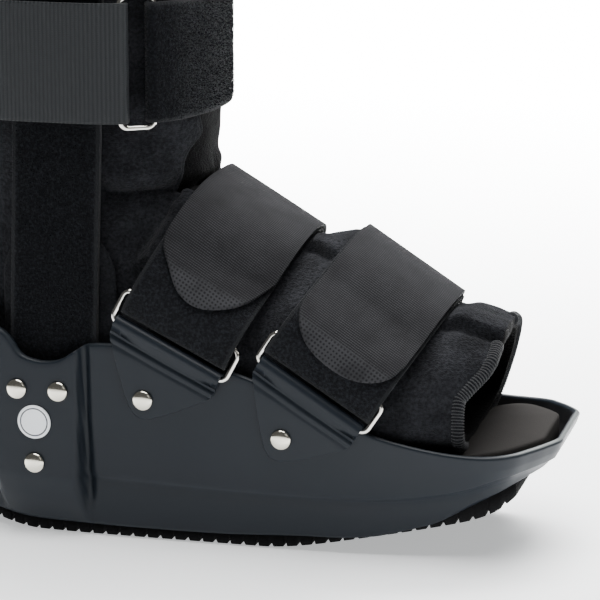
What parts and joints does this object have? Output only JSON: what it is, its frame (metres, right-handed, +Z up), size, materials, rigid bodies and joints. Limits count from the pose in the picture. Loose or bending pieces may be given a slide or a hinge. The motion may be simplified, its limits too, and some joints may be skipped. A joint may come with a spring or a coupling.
{
  "type": "medical walking boot",
  "caption": "Short orthopaedic walking boot: rocker shell with lugged sole, padded open-toe liner, side stays and hook-and-loop straps on wire rings.",
  "frame": {"origin": "middle of the boot's plan, on the floor it stands on", "axes": "+X towards the toe, +Y to the far side, +Z up"},
  "size_m": [0.295, 0.127, 0.272],
  "materials": {
    "shell": "dark slate grey moulded plastic, satin, lighter along the rim",
    "outsole": "black lugged rubber",
    "insole": "dark warm grey foam with a fine cell grain",
    "liner": "charcoal brushed knit over foam padding",
    "loop_pile": "near-black loop pile with selvage edges",
    "woven_strap": "dark warm grey fine woven strap, coarse mesh at the tip",
    "ribbed_webbing": "slate grey webbing with fine upright ribs",
    "wire": "bright nickel plated steel wire",
    "rivet": "polished nickel plated domes",
    "label": "white disc with a thin dark ring line"
  },
  "bodies": {
    "root": {"shell": "shell", "outsole": "outsole", "insole": "insole", "liner": "liner", "liner_toe_edge_near": "liner", "liner_toe_edge_far": "liner", "ankle_pad_near": "liner", "ankle_pad_far": "liner", "upright_near": "loop_pile", "upright_far": "loop_pile", "strap_tab_near_1": "shell", "strap_tab_near_2": "shell", "strap_tab_far_1": "shell", "strap_tab_far_2": "shell", "foot_ring_near_1": "wire", "foot_ring_near_2": "wire", "foot_ring_far_1": "wire", "foot_ring_far_2": "wire", "upright_rivet_near_1": "rivet", "upright_rivet_near_2": "rivet", "upright_rivet_near_3": "rivet", "upright_rivet_far_1": "rivet", "upright_rivet_far_2": "rivet", "upright_rivet_far_3": "rivet", "tab_rivet_near_1": "rivet", "tab_rivet_near_2": "rivet", "tab_rivet_far_1": "rivet", "tab_rivet_far_2": "rivet", "size_label": "label", "foot_strap_1_pile": "loop_pile", "foot_strap_2_pile": "loop_pile", "foot_strap_1_web": "woven_strap", "foot_strap_2_web": "woven_strap", "leg_ring": "wire", "leg_strap_web": "ribbed_webbing", "leg_strap_pile": "loop_pile"}
  },
  "joints": []
}
